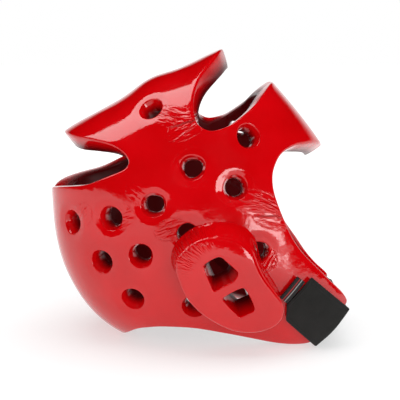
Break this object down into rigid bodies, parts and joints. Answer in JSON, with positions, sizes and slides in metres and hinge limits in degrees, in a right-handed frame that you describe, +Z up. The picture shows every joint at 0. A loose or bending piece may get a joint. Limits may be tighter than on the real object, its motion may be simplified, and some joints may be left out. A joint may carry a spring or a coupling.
{
  "type": "martial arts sparring headgear",
  "caption": "Dipped-foam sparring headgear with vent holes, raised ear cups, open crown slots and a hook-and-loop chin strap.",
  "frame": {"origin": "under the middle of the bounding box, on the surface that the nape edge and both chin corners stand on", "axes": "+X out of the face opening, +Y to the wearer's left, +Z up towards the crown"},
  "size_m": [0.2772, 0.2416, 0.2703],
  "materials": {
    "vinyl_skin": "glossy dipped vinyl with fine wrinkles",
    "webbing": "matt brushed loop webbing",
    "hook_tape": "hook tape",
    "woven_label": "woven satin label with two plain stripes",
    "rivet_metal": "nickel plated"
  },
  "bodies": {
    "shell": {"shell_right": "vinyl_skin", "shell_left": "vinyl_skin", "ear_cup_right": "vinyl_skin", "ear_cup_left": "vinyl_skin", "hook_patch": "hook_tape", "strap_fixed_end": "webbing", "rivet_upper": "rivet_metal", "rivet_lower": "rivet_metal", "washer_upper": "rivet_metal", "washer_lower": "rivet_metal"},
    "strap_band": {"strap_band": "webbing"},
    "strap_flap": {"strap_flap": "webbing", "strap_label": "woven_label"}
  },
  "joints": [
    {"name": "strap_swing", "type": "hinge", "parent": "shell", "child": "strap_band", "pos_m": [0.1234, 0.0645, 0.0179], "axis": [0, 0, 1], "range_deg": [0, 70]},
    {"name": "flap_peel", "type": "hinge", "parent": "strap_band", "child": "strap_flap", "pos_m": [0.1225, -0.067, 0.018], "axis": [0.656, 0, 0.7548], "range_deg": [0, 62]}
  ]
}
